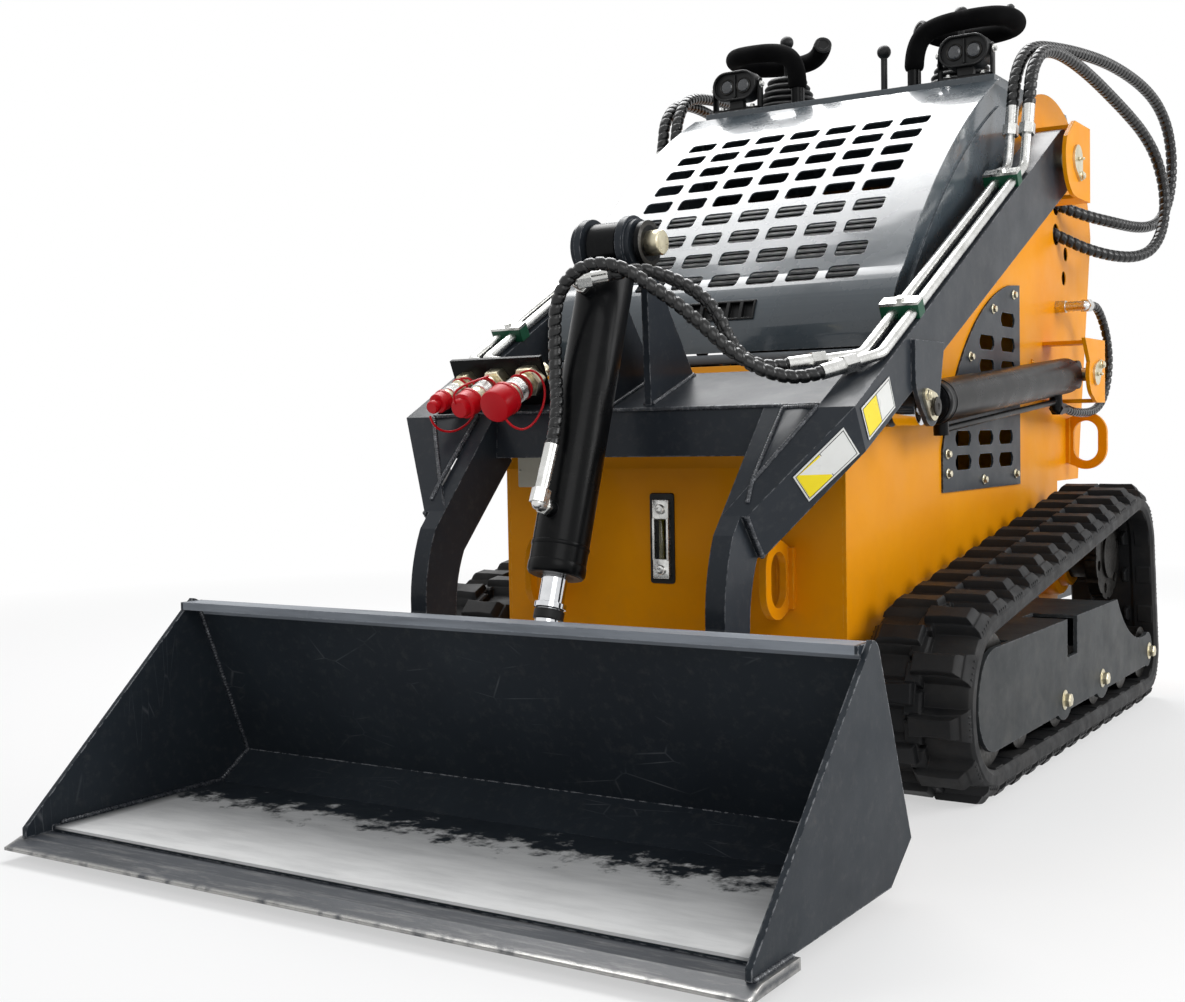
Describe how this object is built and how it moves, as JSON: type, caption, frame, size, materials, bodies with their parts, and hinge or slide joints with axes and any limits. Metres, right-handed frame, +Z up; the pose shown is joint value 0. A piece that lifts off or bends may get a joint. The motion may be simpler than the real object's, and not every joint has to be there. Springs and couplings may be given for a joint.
{
  "type": "stand-on tracked mini skid steer loader with bucket",
  "caption": "Compact stand-on skid steer loader on rubber tracks, with lift arms outside the body, a tilting bucket, a slotted hood, grab handles and a rear platform.",
  "frame": {"origin": "bottom centre of the whole machine's bounding box, on the ground under the lugs", "axes": "+Z up, +Y towards the operator's end, +X to the machine's left side; the bucket faces -Y"},
  "size_m": [1.2, 2.555, 1.4869],
  "materials": {
    "yellow_paint": "gloss",
    "dark_grey_paint": "satin",
    "black_paint": "satin",
    "worn_steel": "worn",
    "bright_steel": "polished",
    "black_rubber": "matte",
    "black_plastic": "matte",
    "green_plastic": "satin",
    "red_plastic": "satin"
  },
  "bodies": {
    "chassis": {"body_shell": "yellow_paint", "body_side_left": "yellow_paint", "body_side_right": "yellow_paint", "side_vents": "dark_grey_paint", "arm_pivot_brackets": "yellow_paint", "lift_cylinder_brackets": "yellow_paint", "pivot_pins": "bright_steel", "tie_down_rings": "yellow_paint", "engine_block": "worn_steel", "side_cheeks": "dark_grey_paint", "track_left": "black_rubber", "track_right": "black_rubber", "track_frame_left": "dark_grey_paint", "track_frame_right": "dark_grey_paint", "track_wheels": "worn_steel", "drive_sprockets": "worn_steel", "grab_handles": "black_rubber", "console": "black_paint", "work_lights": "black_paint", "lever_boots": "black_rubber", "control_levers": "black_plastic", "platform_hinges": "black_paint", "hood_hinge": "bright_steel", "oil_cooler": "black_paint", "hose_fittings": "bright_steel", "boom_hose_over_left": "black_rubber", "boom_hose_over_right": "black_rubber", "boom_hose_under_left": "black_rubber", "boom_hose_under_right": "black_rubber", "lift_hose_left": "black_rubber", "lift_hose_right": "black_rubber"},
    "hood": {"hood": "dark_grey_paint", "hood_latch": "black_plastic"},
    "lift_arms": {"lift_arm_left": "dark_grey_paint", "lift_arm_right": "dark_grey_paint", "arm_crossmember": "dark_grey_paint", "tilt_bracket": "dark_grey_paint", "tilt_pin": "bright_steel", "lift_front_pins": "bright_steel", "arm_tubes": "bright_steel", "tube_clamps": "green_plastic", "clamp_covers": "bright_steel", "coupler_plate": "black_paint", "aux_couplers": "bright_steel", "coupler_caps": "red_plastic", "tilt_hose_lower": "black_rubber", "tilt_hose_upper": "black_rubber"},
    "bucket": {"bucket_shell": "black_paint", "bucket_cutting_edge": "worn_steel", "attach_plate": "black_paint", "bucket_pins": "bright_steel"},
    "lift_barrel_left": {"lift_barrel_left": "black_paint"},
    "lift_rod_left": {"lift_rod_left": "bright_steel"},
    "lift_barrel_right": {"lift_barrel_right": "black_paint"},
    "lift_rod_right": {"lift_rod_right": "bright_steel"},
    "tilt_barrel": {"tilt_barrel": "black_paint", "tilt_fittings": "bright_steel"},
    "tilt_rod": {"tilt_rod": "bright_steel"},
    "platform": {"platform": "black_paint"}
  },
  "joints": [
    {"name": "arm_lift", "type": "hinge", "parent": "chassis", "child": "lift_arms", "pos_m": [0, 0.5125, 1.138], "axis": [-1, 0, 0], "range_deg": [0, 72], "deforming": ["boom_hose_over_left", "boom_hose_over_right", "boom_hose_under_left", "boom_hose_under_right"]},
    {"name": "bucket_tilt", "type": "hinge", "parent": "lift_arms", "child": "bucket", "pos_m": [0, -0.7215, 0.135], "axis": [1, 0, 0], "range_deg": [-20, 105]},
    {"name": "hood_open", "type": "hinge", "parent": "chassis", "child": "hood", "pos_m": [0, 0.3545, 1.276], "axis": [-1, 0, 0], "range_deg": [0, 60]},
    {"name": "platform_fold", "type": "hinge", "parent": "chassis", "child": "platform", "pos_m": [0, 0.9475, 0.2], "axis": [1, 0, 0], "range_deg": [0, 85]},
    {"name": "lift_barrel_left_swing", "type": "hinge", "parent": "chassis", "child": "lift_barrel_left", "pos_m": [0.39, 0.6525, 0.708], "axis": [-1, 0, 0], "range_deg": [-0.5, 55.36], "deforming": ["lift_hose_left"]},
    {"name": "lift_rod_left_slide", "type": "slide", "parent": "lift_barrel_left", "child": "lift_rod_left", "axis": [0, -0.9969, -0.0783], "range_m": [-0.002, 0.4167]},
    {"name": "lift_barrel_right_swing", "type": "hinge", "parent": "chassis", "child": "lift_barrel_right", "pos_m": [-0.39, 0.6525, 0.708], "axis": [-1, 0, 0], "range_deg": [-0.5, 55.36], "deforming": ["lift_hose_right"]},
    {"name": "lift_rod_right_slide", "type": "slide", "parent": "lift_barrel_right", "child": "lift_rod_right", "axis": [0, -0.9969, -0.0783], "range_m": [-0.002, 0.4167]},
    {"name": "tilt_barrel_swing", "type": "hinge", "parent": "lift_arms", "child": "tilt_barrel", "pos_m": [0, -0.5555, 0.899], "axis": [1, 0, 0], "range_deg": [-3, 3], "deforming": ["tilt_hose_lower", "tilt_hose_upper"]},
    {"name": "tilt_rod_slide", "type": "slide", "parent": "tilt_barrel", "child": "tilt_rod", "axis": [0, -0.3282, -0.9446], "range_m": [-0.0411, 0.2073]}
  ],
  "couplings": [
    {"joint": "lift_barrel_left_swing", "follows": "arm_lift", "ratio": 0.762},
    {"joint": "lift_rod_left_slide", "follows": "arm_lift", "m_per_rad": 0.33},
    {"joint": "lift_barrel_right_swing", "follows": "arm_lift", "ratio": 0.762},
    {"joint": "lift_rod_right_slide", "follows": "arm_lift", "m_per_rad": 0.33},
    {"joint": "tilt_barrel_swing", "follows": "bucket_tilt", "ratio": -0.01},
    {"joint": "tilt_rod_slide", "follows": "bucket_tilt", "m_per_rad": 0.112}
  ]
}
